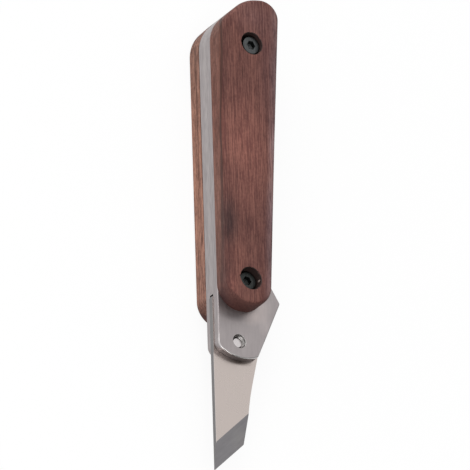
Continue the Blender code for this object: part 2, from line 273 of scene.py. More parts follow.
def scale_corners(end):
    palm = palm_edge(end)
    half_round = (palm - SPINE_X - END_FLAT) / 2
    return [(SPINE_X, end, half_round), (palm, end, half_round)] + UPPER_CORNERS


def plate_corners():
    """The nose, the finger guard and the butt."""
    stands_out = GUARD_TIP.x - palm_edge(GUARD_TIP.y)
    root = GUARD_TIP.y + stands_out / (math.tan(GUARD_ANGLE) + PALM_SLOPE)
    guard = [(*GUARD_TIP, GUARD_TIP_RADIUS), (palm_edge(root), root, GUARD_ROOT_RADIUS)]
    return NOSE_CORNERS + guard + UPPER_CORNERS


def slab(corners, inner, outer, rounding, steps):
    """Rings of a board whose outer edge is rounded."""
    side = outer - math.copysign(rounding, outer - inner)
    rings = [(outline(corners), inner)]
    for step in range(steps + 1):
        angle = math.pi / 2 * step / steps
        depth = rounding * (1 - math.cos(angle))
        rings.append((outline(inset(corners, depth)), side + (outer - side) * math.sin(angle)))
    return rings


print("a plate's outline has", len(outline(plate_corners())), "points")

# %% [markdown]
# ## Wooden scales
# Each scale is a board of reddish hardwood with its outer edges sanded round. Two counterbores take the
# screw heads. Their mouths are worn and slightly chipped, so the cutter flares unevenly at the face. A
# Bevel modifier would round all edges alike, while rings give each edge its own shape.

# %% Screw holes
# Each screw's x and y, and how deep its head lies.
SCREWS = {"lower": (1.2, 22.0, 2.7), "upper": (4.5, 115.8, 1.5)}
OFF_CENTRE = {("front", "upper"): 0.6}
CHIPS = {"lower": 0.8, "upper": 0.1}
HEAD_HEIGHT = 4.0
HEAD_GAP = 0.02
COUNTERBORE = 4.25
SHANK_HOLE = 2.65
THROUGH = 8.0
# Beats round a mouth and where they start. Chips break out where the waves rise above the level.
CHIP_WAVES = ((5, -1.4), (8, 1.6))
CHIP_LEVEL = 0.8
# How much wider the mouth is, its share of the chips, and its depth below the face.
BROKEN_MOUTH = [(0.5, 1, -0.5), (0.25, 1, -0.05), (0.03, 0.5, 0.18), (0, 0, 0.5)]


def screw_axis(side, name):
    """Where a screw stands. One sits a little beside the middle of its hand-drilled counterbore."""
    x, y, _ = SCREWS[name]
    return x + OFF_CENTRE.get((side, name), 0), y


def chipped(radius, chip):
    """A circle with chips broken out of it."""
    def reach(angle):
        wave = sum(math.sin(beats * angle + start) for beats, start in CHIP_WAVES)
        return radius + chip * max(0, wave - CHIP_LEVEL)

    return round_ring(reach)


def screw_hole(name, x, y, recess, outer, way, chip):
    """A cutter down into the scale. The way is -1 into the front scale and 1 up into the back one."""
    floor = recess + HEAD_HEIGHT + HEAD_GAP
    profile = [(chipped(COUNTERBORE + wider, chip * share), depth) for wider, share, depth in BROKEN_MOUTH]
    profile += [(circle(COUNTERBORE), floor), (circle(SHANK_HOLE), floor), (circle(SHANK_HOLE), THROUGH)]
    return piece_from(name, skin([(points, outer + way * depth) for points, depth in profile], x, y))


print("screw holes:", ", ".join(SCREWS))

# %% Scales
# The radius of the rounded edge, and in how many steps it turns.
SCALE_ROUNDING = (1.5, 10)
SCALE_ENDS = {"front_scale": 11.8, "back_scale": 10.8}


def make_scale(node, inner, outer):
    way = math.copysign(1, inner - outer)
    board = slab(scale_corners(SCALE_ENDS[node]), inner, outer, *SCALE_ROUNDING)
    scale = piece_from(node + "_wood", skin(board))
    holes = []
    for name, place in SCREWS.items():
        holes.append(screw_hole(f"{node}_{name}", *place, outer, way, CHIPS[name]))
    bore(scale, *holes)
    stands_for(scale, node, "handle")
    return scale


front_scale = make_scale("front_scale", level("front_scale", 0), level("front_scale", 1))
back_scale = make_scale("back_scale", level("back_scale", 1), level("back_scale", 0))

# %% [markdown]
# ## Steel plates
# The plates are sawn from 3 mm steel. Their outer arris is rounded by filing, and catches the light as
# one bright line round the nose. The front plate is tapped for the pivot screw, so its hole shows
# turns of thread. The back plate has a countersink for the screw's head. A bump map could fake the
# thread, but a Boolean with a turned cutter gives it real shadows.

# %% Holes in the plates
TAP_RADIUS = 2.05
PIVOT_HOLE = 2.55
PIVOT_PITCH = 0.8
PIVOT_GROOVE = 0.38
PIVOT_MOUTH = 2.75
SINK_RADIUS = 4.65
SINK_LAND = 0.4
SINK_DEPTH = 2.5
RIVET_RADIUS = 1.25
RIVET_HEAD = 1.75
RIVET_SINK = 0.5


def plain_hole(name, x, y, radius, low, high):
    return piece_from(name, skin([(circle(radius), low), (circle(radius), high)], x, y))


def rivet_hole(name, x, y, inner, outer):
    """A hole whose outer mouth widens for the rivet's flush head."""
    out = math.copysign(1, outer - inner)
    rings = [(circle(RIVET_RADIUS), inner - out), (circle(RIVET_RADIUS), outer - RIVET_SINK * out)]
    rings += [(circle(RIVET_HEAD), outer), (circle(RIVET_HEAD), outer + out)]
    return piece_from(name, skin(rings, x, y))


def tapped_hole(low, high):
    """The pivot's thread through the front plate, with a small countersink at its mouth."""
    rings = [(circle(PIVOT_HOLE), low - 1)]
    rings += thread_rings(low + 0.2, high - 0.25, PIVOT_HOLE, PIVOT_GROOVE, PIVOT_PITCH)
    rings += [(circle(PIVOT_HOLE + 0.01), high - 0.2), (circle(PIVOT_MOUTH), high + 0.02)]
    rings.append((circle(PIVOT_MOUTH), high + 1))
    return piece_from("tapped_hole", skin(rings))


def countersink(low, high):
    """The pivot's hole through the back plate, with a cone for the screw's head."""
    rings = [(circle(SINK_RADIUS), low - 1), (circle(SINK_RADIUS), low + SINK_LAND)]
    rings += [(circle(PIVOT_HOLE), low + SINK_DEPTH), (circle(PIVOT_HOLE), high + 1)]
    return piece_from("countersink", skin(rings))


print("thread pitch in mm:", PIVOT_PITCH)

# %% Plates
PLATE_ROUNDING = (0.5, 5)
RIVET_X = -6.35
RIVETS = {
    "lower": (RIVET_X, 46.0),
    "middle": (RIVET_X, 79.05),
    "upper": (RIVET_X, 112.1),
    "butt": (10.0, 131.35),
}


def make_plate(node, inner, outer, pivot_hole):
    low, high = sorted((inner, outer))
    plate = piece_from(node + "_steel", skin(slab(plate_corners(), inner, outer, *PLATE_ROUNDING)))
    holes = [pivot_hole]
    for name in SCREWS:
        x, y = screw_axis(node.split("_")[0], name)
        holes.append(plain_hole(f"{node}_{name}_tap", x, y, TAP_RADIUS, low - 1, high + 1))
    for name, (x, y) in RIVETS.items():
        holes.append(rivet_hole(f"{node}_{name}_hole", x, y, inner, outer))
    bore(plate, *holes)
    stands_for(plate, node, "handle")
    return plate


front_low, front_high = level("front_plate", 0), level("front_plate", 1)
back_low, back_high = level("back_plate", 0), level("back_plate", 1)
front_plate = make_plate("front_plate", front_low, front_high, tapped_hole(front_low, front_high))
back_plate = make_plate("back_plate", back_high, back_low, countersink(back_low, back_high))

# %% [markdown]
# ## The blade
# A skew blade ground from flat stock: a long flat front, one wide bevel, a hollow palm side, and inside the
# handle a round tang with a tail that meets the spacer. The bevel is one flat cut, exactly as on a grinding
# wheel, so a plane cut makes it. A fine chamfer along the top edges stands for the deburred arris.

# %% Blade
HANDLE_MOUTH = -5.0
BLADE_SPINE = -9.1
BLADE_CORNERS = [
    (BLADE_SPINE, -50.4, 0),
    (3.4, -37.9, 0),
    (5.55, -19.6, 90),
    (9.4, -2.4, 4),
    (8.2, 8.0, 6.5),
    (-1.2, 9.4, 5),
    (-1.2, 17.5, 3),
    (BLADE_SPINE, 17.5, 0.9),
    (BLADE_SPINE, HANDLE_MOUTH, 0),
]
SKEW = math.radians(45)
BEVEL_WIDTH = 7.4
EDGE_LAND = 0.06
BLADE_ARRIS = 0.09
blade_low, blade_high = level("blade", 0), level("blade", 1)


def grind_bevel(mesh):
    """Cuts everything above the bevel away and returns the direction that the bevel faces."""
    along = Vector((math.cos(SKEW), math.sin(SKEW), 0))
    across = Vector((-math.sin(SKEW), math.cos(SKEW), 0))
    rise = across * BEVEL_WIDTH + Vector((0, 0, blade_high - blade_low - EDGE_LAND))
    facing = along.cross(rise).normalized()
    edge = pivot + Vector(BLADE_CORNERS[0]) * MM
    edge.z = (blade_low + EDGE_LAND) * MM
    everything = mesh.verts[:] + mesh.edges[:] + mesh.faces[:]
    bmesh.ops.bisect_plane(mesh, geom=everything, plane_co=edge, plane_no=facing, clear_outer=True)
    bmesh.ops.holes_fill(mesh, edges=mesh.edges)
    bmesh.ops.recalc_face_normals(mesh, faces=mesh.faces)
    return facing


def make_blade():
    rings = [(outline(BLADE_CORNERS), blade_low), (outline(BLADE_CORNERS), blade_high - BLADE_ARRIS)]
    rings.append((outline(inset(BLADE_CORNERS, BLADE_ARRIS)), blade_high))
    mesh = skin(rings)
    facing = grind_bevel(mesh)
    blade = piece_from("blade_steel", mesh, crease=12)
    bore(blade, plain_hole("pivot_bore", 0, 0, PIVOT_HOLE, blade_low - 1, blade_high + 1))
    stands_for(blade, "blade", "blade")
    return blade, facing


blade, bevel_facing = make_blade()
print("the bevel leans by", round(math.degrees(bevel_facing.angle(Vector((0, 0, 1)))), 1), "degrees")

# %% [markdown]
# ## Screws
# Socket-head screws of blackened steel sit deep in the scales. Only their heads show: a knurled rim and
# a hexagon socket with a broken mouth and a drilled bottom. The shank keeps its thread, because it shows
# as soon as a screw is taken out. Rings from the socket's bottom to the foot need no Boolean.

# %% Scale screws
DRILL_POINT = 0.05
SOCKET = 3.0
HEAD_RADIUS = 3.5
SHANK_RADIUS = 2.0
SCREW_PITCH = 0.7
SCREW_GROOVE = 0.36
SCREW_REACH = 10.22
NECK = 0.3


def head_profile():
    """Rings and their depths below the head's top, from the socket's drilled bottom out to the shank."""
    return [
        (circle(DRILL_POINT), 2.55),
        (hexagon(SOCKET - 0.02), 2.1),
        (hexagon(SOCKET), 0.14),
        (hexagon(SOCKET + 0.3), 0),
        (circle(HEAD_RADIUS - 0.4), 0),
        (circle(HEAD_RADIUS - 0.22), 0.05),
        (circle(HEAD_RADIUS - 0.1), 0.2),
        (knurl(HEAD_RADIUS), 0.5),
        (knurl(HEAD_RADIUS), HEAD_HEIGHT - 0.1),
        (circle(HEAD_RADIUS - 0.12), HEAD_HEIGHT),
        (circle(SHANK_RADIUS), HEAD_HEIGHT),
    ]


def make_scale_screw(node, x, y, recess, outer, way):
    """One skin from the socket to the foot. The way is the same as for the holes."""
    top = outer + way * recess
    foot = outer + way * SCREW_REACH
    rings = [(points, top + way * depth) for points, depth in head_profile()]
    low, high = sorted((top + way * (HEAD_HEIGHT + NECK), foot - way * NECK))
    turns = thread_rings(low, high, SHANK_RADIUS, SCREW_GROOVE, SCREW_PITCH)
    if way < 0:
        turns.reverse()
    rings += turns + [(circle(SHANK_RADIUS - NECK), foot)]
    screw = piece_from(node + "_black", skin(rings, x, y), crease=25)
    settle(screw)
    stands_for(screw, node, "handle")
    return screw


scale_screws = []
for side, outer, way in (("front", level("front_scale", 1), -1), ("back", level("back_scale", 0), 1)):
    for name, (_, _, recess) in SCREWS.items():
        axis = screw_axis(side, name)
        scale_screws.append(make_scale_screw(f"{side}_{name}_screw", *axis, recess, outer, way))

# %% [markdown]
# ## Pivot screw
# Its countersunk head and hexagon socket lie in the back plate. Its plain neck carries the blade, and
# its threaded end stops short of the front plate's face, where it shows as a bright disc in the hole. It is
# turned like the other screws. Its two ends are read from the solid, so it stays flush and recessed.

# %% Pivot screw
PIVOT_HEAD = 4.6
PIVOT_NECK = 2.5
PIVOT_CUT = 0.4
PIVOT_END = 1.7


def make_pivot_screw():
    head = level("pivot_screw", 0)
    end = level("pivot_screw", 1)
    rings = [
        (circle(DRILL_POINT), head + 2.2),
        (hexagon(SOCKET - 0.02), head + 1.8),
        (hexagon(SOCKET), head + 0.12),
        (hexagon(SOCKET + 0.25), head),
        (circle(PIVOT_HEAD - 0.15), head),
        (circle(PIVOT_HEAD), head + 0.12),
        (circle(PIVOT_HEAD), head + 0.3),
        (circle(PIVOT_NECK), head + 2.4),
        (circle(PIVOT_NECK), front_low),
    ]
    rings += thread_rings(front_low + 0.05, end - 0.55, PIVOT_NECK, PIVOT_CUT, PIVOT_PITCH)
    rings += [(circle(PIVOT_NECK - PIVOT_CUT), end - 0.35), (circle(PIVOT_END + 0.05), end - 0.04)]
    rings.append((circle(PIVOT_END), end))
    screw = piece_from("pivot_screw_bright", skin(rings), crease=25)
    settle(screw)
    stands_for(screw, "pivot_screw", "handle")
    return screw


pivot_screw = make_pivot_screw()

# %% [markdown]
# ## Finishes: node tools
# A finish is a tree of shader nodes. In the Shader Editor each node is placed and wired by hand. In a script
# a few small helpers say the same in one line each: feed a socket, do a sum, stretch a range, mix two
# colours. They work inside node groups and materials alike.

# %% Node tools
def add(tree, kind, **settings):
    made = tree.nodes.new(kind)
    for key, value in settings.items():
        setattr(made, key, value)
    return made


def tree_of(*values):
    """The node tree that the sockets among some values belong to."""
    return next(value.id_data for value in values if isinstance(value, bpy.types.NodeSocket))


def feed(socket, value):
    """Links another socket to an input, or sets the input to a plain number, vector or colour."""
    if isinstance(value, bpy.types.NodeSocket):
        socket.id_data.links.new(value, socket)
    elif socket.type == "RGBA":
        socket.default_value = (*value, 1)
    else:
        socket.default_value = value


def feed_all(node, settings):
    """Feeds several inputs of a node by their names."""
    for name, value in settings.items():
        feed(node.inputs[name], value)


def calc(operation, *values, kind="ShaderNodeMath"):
    """A sum, difference or the like of sockets or plain numbers."""
    made = add(tree_of(*values), kind, operation=operation)
    for socket, value in zip(made.inputs, values):
        feed(socket, value)
    return next(socket for socket in made.outputs if socket.enabled)


def calc_vector(operation, *values):
    """The same for places and directions."""
    return calc(operation, *values, kind="ShaderNodeVectorMath")


def product(first, *others):
    for other in others:
        first = calc("MULTIPLY", first, other)
    return first


def spread(value, low, high, to_low=0.0, to_high=1.0):
    """Stretches a value from one range to another and clips it there."""
    made = add(tree_of(value), "ShaderNodeMapRange")
    for socket, number in zip(made.inputs, (value, low, high, to_low, to_high)):
        feed(socket, number)
    return made.outputs["Result"]


def tint(share, first, second, blend="MIX"):
    """Mixes two colours, each a socket or plain red, green and blue."""
    made = add(tree_of(share), "ShaderNodeMix", data_type="RGBA", blend_type=blend)
    feed(made.inputs["Factor"], share)
    feed(made.inputs[6], first)
    feed(made.inputs[7], second)
    return made.outputs[2]


def axis_of(place, letter):
    parts = add(tree_of(place), "ShaderNodeSeparateXYZ")
    feed(parts.inputs[0], place)
    return parts.outputs[letter]


def mm_from(where, letter, start=0.0):
    """How many millimetres a place lies past a start, which is in metres along X, Y or Z."""
    return product(calc("SUBTRACT", axis_of(where, letter), start), 1 / MM)


def drawn_noise(place, grain, detail, roughness=0.55, distortion=0.0):
    """Noise whose spots have this size in millimetres along X, Y and Z."""
    noise = add(tree_of(place), "ShaderNodeTexNoise")
    drawn = calc_vector("DIVIDE", place, [size * MM for size in grain])
    feed_all(noise, {"Vector": drawn, "Scale": 1, "Detail": detail})
    feed_all(noise, {"Roughness": roughness, "Distortion": distortion})
    return noise.outputs["Fac"]


print("node tools ready")

# %% [markdown]
# ## Finishes: grain and brush marks
# Streaks are noise that is drawn out along one direction: wood fibres and the lines of a steel brush are
# both that. Several finishes use them, so each is a node group with named inputs, built once. They are
# measured in the frame's own space, so the grain runs on through the inside, as in a real board.

# %% Group tools
VECTOR, FLOAT, COLOUR = "NodeSocketVector", "NodeSocketFloat", "NodeSocketColor"


def new_group(name, inputs, outputs):
    """An empty node group, with the sockets to read from and to feed inside it."""
    tree = bpy.data.node_groups.new(name, "ShaderNodeTree")
    for label, kind in inputs.items():
        tree.interface.new_socket(label, in_out="INPUT", socket_type=kind)
    for label, kind in outputs.items():
        tree.interface.new_socket(label, in_out="OUTPUT", socket_type=kind)
    print("group:", name)
    return tree, add(tree, "NodeGroupInput").outputs, add(tree, "NodeGroupOutput").inputs


def use_group(group, **values):
    """Places a group in a material, feeds its inputs and gives its outputs back."""
    made = add(tree_of(*values.values()), "ShaderNodeGroup", node_tree=group)
    feed_all(made, values)
    return made.outputs


print("group tools ready")


# %% Wood grain group
PORE_SHADE = (0.05, 0.022, 0.018)


def make_wood_group():
    """Straight grain between two colours, with dark open pores."""
    inputs = {"Place": VECTOR, "Dark": COLOUR, "Light": COLOUR}
    outputs = {"Colour": COLOUR, "Roughness": FLOAT, "Height": FLOAT}
    tree, given, result = new_group("wood grain", inputs, outputs)
    place = given["Place"]
    bands = drawn_noise(place, (5, 80, 5), 2, 0.5, 0.3)
    streaks = drawn_noise(place, (0.45, 60, 0.45), 2, 0.6)
    fibres = drawn_noise(place, (0.36, 6, 0.36), 2, 0.6)
    clouds = drawn_noise(place, (5, 7, 5), 3)
    flecks = drawn_noise(place, (0.7, 1.2, 0.7), 1)
    pores = drawn_noise(place, (0.3, 6, 0.3), 1, 0.4)

    tone = product(bands, 0.12)
    for layer, weight in ((streaks, 0.34), (fibres, 0.32), (clouds, 0.1), (flecks, 0.12)):
        tone = calc("ADD", tone, product(layer, weight))
    colour = tint(spread(tone, 0.44, 0.565), given["Dark"], given["Light"])
    open_pore = spread(pores, 0.4, 0.32)
    colour = tint(product(open_pore, 0.4), colour, PORE_SHADE)
    feed(result["Colour"], colour)
    feed(result["Roughness"], spread(fibres, 0.3, 0.7, 0.68, 0.52))
    feed(result["Height"], calc("SUBTRACT", product(fibres, 0.6), open_pore))
    return tree


wood_group = make_wood_group()


# %% Brush marks group
def make_brush_group():
    """Brush marks along Y. The lines input is the share of sharp lines, and the rest is soft clouds."""
    outputs = {"Tone": FLOAT, "Roughness": FLOAT, "Height": FLOAT}
    tree, given, result = new_group("brush marks", {"Place": VECTOR, "Lines": FLOAT}, outputs)
    place = given["Place"]
    fine = drawn_noise(place, (0.07, 9, 0.07), 3, 0.7)
    coarse = drawn_noise(place, (0.5, 6, 0.5), 2, 0.6)
    clouds = drawn_noise(place, (5, 9, 5), 3, 0.6)
    lines = calc("ADD", product(fine, 0.4), product(coarse, 0.6))
    soft = product(clouds, calc("SUBTRACT", 1, given["Lines"]))
    tone = calc("ADD", product(lines, given["Lines"]), soft)
    feed(result["Tone"], spread(tone, 0.35, 0.65))
    feed(result["Roughness"], spread(clouds, 0.3, 0.7))
    feed(result["Height"], lines)
    return tree


brush_group = make_brush_group()

# %% [markdown]
# ## Finishes: wear, stains and painted light
# A used knife differs from place to place. Oil and smoke leave soft ovals, and other soft ovals carry
# painted shade and sheen. A bare arris is worn smooth and carries a painted highlight, and the palm's edge a
# painted reflection. Each is a mask between 0 and 1, in a group of its own, because several finishes use it.
# Vertex paint could do it, but would be lost when a mesh is rebuilt.

# %% Soft oval group
def make_oval_group():
    """1 in the middle and 0 at the reach."""
    inputs = {"Where": VECTOR, "Middle": VECTOR, "Reach": VECTOR}
    tree, given, result = new_group("soft oval", inputs, {"Mask": FLOAT})
    off = calc_vector("SUBTRACT", given["Where"], given["Middle"])
    far = calc_vector("LENGTH", calc_vector("DIVIDE", off, given["Reach"]))
    feed(result["Mask"], spread(far, 1, 0.2))
    return tree


oval_group = make_oval_group()


# %% Edge wear group
def make_edge_group():
    """An arris worn smooth with a painted highlight, just below a flat face (in mm), fading out at a top (in
    mm past the pivot).
    """
    inputs = {"Where": VECTOR, "Face": FLOAT, "Way": FLOAT, "Width": FLOAT, "Top": FLOAT, "Strength": FLOAT}
    tree, given, result = new_group("arris wear and highlight", inputs, {"Mask": FLOAT})
    off = calc("SUBTRACT", mm_from(given["Where"], "Z"), given["Face"])
    below = product(off, given["Way"])
    near = spread(calc("DIVIDE", below, given["Width"]), 1, 0.7)
    past = calc("SUBTRACT", mm_from(given["Where"], "Y", pivot.y), given["Top"])
    edge = product(spread(below, 0.01, 0.05), near, spread(past, 0, -9))
    feed(result["Mask"], product(edge, given["Strength"]))
    return tree


edge_group = make_edge_group()


# %% Palm and sawn end groups
def make_palm_sheen_group():
    """1 on the palm side and along the edge of the face, where a reflection of the room is painted."""
    tree, given, result = new_group("palm sheen", {"Where": VECTOR}, {"Mask": FLOAT})
    along = mm_from(given["Where"], "Y", pivot.y + PALM_WAIST[1] * MM)
    edge = calc("ADD", product(along, PALM_SLOPE), PALM_WAIST[0])
    past = calc("SUBTRACT", mm_from(given["Where"], "X", pivot.x), edge)
    feed(result["Mask"], spread(past, -3.8, -1.2))
    return tree


def make_end_group():
    """1 on the end below the face, with cut pores and painted shade. The way is the face's side, 1 or -1."""
    tree, given, result = new_group("sawn end", {"Facing": VECTOR, "Way": FLOAT}, {"Mask": FLOAT})
    low = spread(axis_of(given["Facing"], "Y"), -0.05, -0.45)
    turned = spread(product(axis_of(given["Facing"], "Z"), given["Way"]), 0.9, 0.8)
    feed(result["Mask"], product(low, turned))
    return tree


palm_sheen_group = make_palm_sheen_group()
end_group = make_end_group()

# %% [markdown]
# ## Finishes: layers of the board
# The board was sawn so that its yearly layers lean across the spine's corner. The outermost layers are paler
# sapwood, and a dark growth line parts them from the red heartwood. Distance across the leaning layers tells
# which is which on every side of the board. A picture of wood would only fit one of its faces.

# %% Wood layer group
LAYER_LEAN = math.radians(31)


def make_layer_group():
    """Masks from the distance to the growth line, which starts and climbs in mm from the inner corner."""
    inputs = {"Where": VECTOR, "Place": VECTOR, "Inner": FLOAT, "Way": FLOAT, "Start": FLOAT, "Climb": FLOAT}
    outputs = {"Sapwood": FLOAT, "Line": FLOAT, "Beyond": FLOAT}
    tree, given, result = new_group("wood layers", inputs, outputs)
    where = given["Where"]
    sideways = product(mm_from(where, "X", pivot.x + SPINE_X * MM), math.cos(LAYER_LEAN))
    depth = calc("SUBTRACT", mm_from(where, "Z"), given["Inner"])
    upwards = product(depth, given["Way"], math.sin(LAYER_LEAN))
    climbed = product(mm_from(where, "Y", pivot.y), given["Climb"])
    wander = spread(drawn_noise(given["Place"], (6, 30, 6), 2), 0.3, 0.7, -0.35, 0.35)
    line = calc("ADD", calc("ADD", given["Start"], climbed), wander)
    off = calc("SUBTRACT", calc("ADD", sideways, upwards), line)

    feed(result["Sapwood"], spread(off, -0.05, -0.6))
    strong = spread(mm_from(where, "Y", pivot.y), 35, 75, 0.5, 0.95)
    feed(result["Line"], product(spread(calc("ABSOLUTE", off), 0.6, 0.2), strong))
    feed(result["Beyond"], product(spread(off, 3, 0), spread(off, -0.3, 0, 0, 0.12)))
    return tree


layer_group = make_layer_group()

# %% [markdown]
# ## Finishes: materials
# A material hangs one shader behind the groups. The groups are placed in the frame's own space, and their
# grain is turned and moved as each piece needs, so that two scales never show the same board.

# %% Material tools
def new_finish(name, turn=0.0, shift=(0, 0, 0)):
    """A material and its shader, the frame's space, and that space turned about Z and moved in mm."""
    material = bpy.data.materials.new(name)
    material.use_nodes = True
    tree = material.node_tree
    where = add(tree, "ShaderNodeTexCoord").outputs["Object"]
    moved = add(tree, "ShaderNodeMapping")
    location = [value * MM for value in shift]
    feed_all(moved, {"Vector": where, "Rotation": (0, 0, turn), "Location": location})
    print("finish:", name)
    return material, tree.nodes["Principled BSDF"], where, moved.outputs["Vector"]


def bumps(shader, height, strength, depth):
    bump = add(shader.id_data, "ShaderNodeBump")
    feed_all(bump, {"Strength": strength, "Distance": depth * MM, "Height": height})
    feed(shader.inputs["Normal"], bump.outputs["Normal"])


# An oval is its middle's x and y in mm from the pivot, and its reach along both. One at a single level adds
# that level and its reach in height.
ALL_LEVELS = (0, 1000)


def tint_stains_and_light(colour, where, stains_and_light, ragged=1.0):
    """Multiplies a colour in soft ovals, for marks and for painted light and shade. A ragged mask frays
    them.
    """
    for (x, y, reach_x, reach_y, *level_and_reach), oval_tint in stains_and_light:
        z, reach_z = level_and_reach or ALL_LEVELS
        middle = (pivot.x + x * MM, pivot.y + y * MM, z * MM)
        reach = (reach_x * MM, reach_y * MM, reach_z * MM)
        oval = use_group(oval_group, Where=where, Middle=middle, Reach=reach)
        colour = tint(product(oval["Mask"], ragged), colour, oval_tint, "MULTIPLY")
    return colour


print("material tools ready")

# %% [markdown]
# ## Finishes: wood
# The scales are the same red hardwood from two places in a board. On the front one the growth line runs
# along the rounded corner of the spine, with a smoky stain beside it and a warm glow in the middle of the
# face. A painted reflection lies pale on the palm's rim, and the wood is darker low on the spine. The sawn
# lower end is dark, partly from its end grain and partly painted shade, and darker still at its corner.
# Soft ovals are easier to move than painted marks.

# %% Wood finish
GROWTH_LINE = (0.07, 0.033, 0.026)
END_GRAIN_AND_SHADE = (0.075, 0.031, 0.027)
PALM_SHEEN = (1.23, 1.72, 1.96)


def wood_finish(name, shift, heart, sap, layers, stains_and_light, marks):
    """Heartwood and sapwood, each of dark and light grain. Stains and painted rim sheen in the heartwood,
    marks on all.
    """
    material, shader, where, place = new_finish(name, shift=shift)
    ragged = spread(drawn_noise(place, (1.6, 12, 1.6), 3), 0.3, 0.7, 0.6, 1)
    grain = use_group(wood_group, Place=place, Dark=heart[0], Light=heart[1])
    pale = use_group(wood_group, Place=place, Dark=sap[0], Light=sap[1])
    layer = use_group(layer_group, Where=where, Place=place, **layers)
    colour = tint_stains_and_light(grain["Colour"], where, stains_and_light, ragged)
    colour = tint(layer["Sapwood"], colour, pale["Colour"])
    colour = tint(layer["Beyond"], colour, GROWTH_LINE)
    colour = tint(layer["Line"], colour, GROWTH_LINE)

    colour = tint_stains_and_light(colour, where, marks)
    # A painted reflection of the white room on the palm's rim.
    sheen_mask = use_group(palm_sheen_group, Where=where)["Mask"]
    colour = tint(product(sheen_mask, ragged), colour, PALM_SHEEN, "MULTIPLY")
    facing = add(shader.id_data, "ShaderNodeTexCoord").outputs["Normal"]
    sawn = use_group(end_group, Facing=facing, Way=layers["Way"])["Mask"]
    # The down-facing end is darkened, partly for its end grain and partly as painted shade.
    colour = tint(product(sawn, 0.6), colour, END_GRAIN_AND_SHADE)
    feed_all(shader, {"Base Color": colour, "Roughness": grain["Roughness"], "Specular IOR Level": 0.15})
    bumps(shader, grain["Height"], 0.45, 0.05)
    return material


print("wood finish ready")

# %% Front wood
SMOKY = (0.4, 0.53, 0.62)
FAINT = (0.85, 0.86, 0.88)
PURPLE = (0.76, 0.8, 0.9)
WARM = (1.72, 1.67, 1.6)
LIGHTER = (1.15, 1.13, 1.1)
BLEACHED = (1.16, 1.3, 1.42)
SCUFFED = (1.26, 1.28, 1.32)
# Painted sheen on the palm's rim, like a reflection on the rounding.
RIM_SHEEN = (1.35, 1.5, 1.6)
HEARTWOOD = ((0.095, 0.0362, 0.0317), (0.19, 0.0805, 0.064))
face_stains_and_sheen = [
    ((-7.2, 43.5, 5, 13), SMOKY),
    ((-4, 60, 5.5, 10), FAINT),
    ((-8.5, 98, 3, 24), FAINT),
    ((8.7, 21, 2.6, 7), SCUFFED),
    ((-0.5, 73, 13, 28), WARM),
    ((-2.3, 113, 3.5, 14), LIGHTER),
    ((5, 127, 12, 10), BLEACHED),
    ((-3, 126, 6, 8), LIGHTER),
    ((-4, 28, 6, 12), LIGHTER),
    ((11, 106, 5.5, 34), PURPLE),
    ((9.5, 38, 4.5, 26), PURPLE),
    ((10.7, 50, 2.6, 17), RIM_SHEEN),
    ((12.2, 75, 2.8, 17), RIM_SHEEN),
]
front_layers = {"Inner": level("front_scale", 0), "Way": 1, "Start": 1.1, "Climb": 0.0266}
front_sap = ((0.112, 0.049, 0.038), (0.243, 0.114, 0.086))
DULL = (0.82, 0.83, 0.86)
DARKER_LOW_SPINE = (0.78, 0.81, 0.85)
REDDER = (0.97, 0.85, 0.82)
DARK_LOW_CORNER = (0.25, 0.36, 0.52)
LIGHTER_LOW_FACE = (1.5, 1.46, 1.42)
DULL_LOW = ((SPINE_X - 1, 22, 4, 26), DULL)
# Near the lower end the wood is darker at the corner by the plate and low on the spine, and lighter on the
# face.
front_marks = [
    DULL_LOW,
    ((-9.6, 92, 2.6, 36), REDDER),
    ((-6, 16, 4.2, 5, level("front_scale", 0) + 0.8, 4.5), DARK_LOW_CORNER),
    ((-6.6, 17.6, 3.4, 6), LIGHTER_LOW_FACE),
    ((-9.6, 18.5, 2.3, 8), DARKER_LOW_SPINE),
]
front_wood = wood_finish(
    "front scale wood", (3, 10, 2), HEARTWOOD, front_sap, front_layers, face_stains_and_sheen, front_marks
)

# %% Back wood
back_layers = {"Inner": level("back_scale", 1), "Way": -1, "Start": 4.2, "Climb": 0.004}
back_sap = ((0.13, 0.057, 0.04), (0.41, 0.205, 0.144))
PALER = (1.14, 1.15, 1.16)
SHADED = (0.74, 0.77, 0.8)
back_marks = [
    DULL_LOW,
    ((-12, 25, 8, 45), PALER),
    ((SPINE_X - 2, 117, 8, 24), SHADED),
]
back_wood = wood_finish("back scale wood", (41, -30, 17), HEARTWOOD, back_sap, back_layers, [], back_marks)

# %% Bore finish
DARK_BORE_TONES = ((0.016, 0.008, 0.007), (0.05, 0.023, 0.019))
LIGHT_SPOT = (0.5, 0.4, 0.36)
LIGHT_SPOT_SIZE = Vector((1, 0.5, 1))
LIGHT_SPOT_X, LIGHT_SPOT_Y, LIGHT_SPOT_DEPTH = 4.2, 0.4, 1.7


def bore_finish():
    """The walls of the counterbores, dark with rings. One has a light spot on its wall."""
    material, shader, where, place = new_finish("dark bore")
    rings = drawn_noise(place, (3, 3, 0.25), 2)
    colour = tint(rings, *DARK_BORE_TONES)
    x, y, _ = SCREWS["lower"]
    middle = pivot + Vector((x + LIGHT_SPOT_X, y + LIGHT_SPOT_Y, 0)) * MM
    middle.z = (level("front_scale", 1) - LIGHT_SPOT_DEPTH) * MM
    light_spot = use_group(oval_group, Where=where, Middle=middle, Reach=LIGHT_SPOT_SIZE * MM)
    colour = tint(light_spot["Mask"], colour, LIGHT_SPOT)
    rough = spread(rings, 0.3, 0.7, 0.6, 0.85)
    feed_all(shader, {"Base Color": colour, "Roughness": rough})
    bumps(shader, rings, 0.4, 0.03)
    return material


bore_wall = bore_finish()

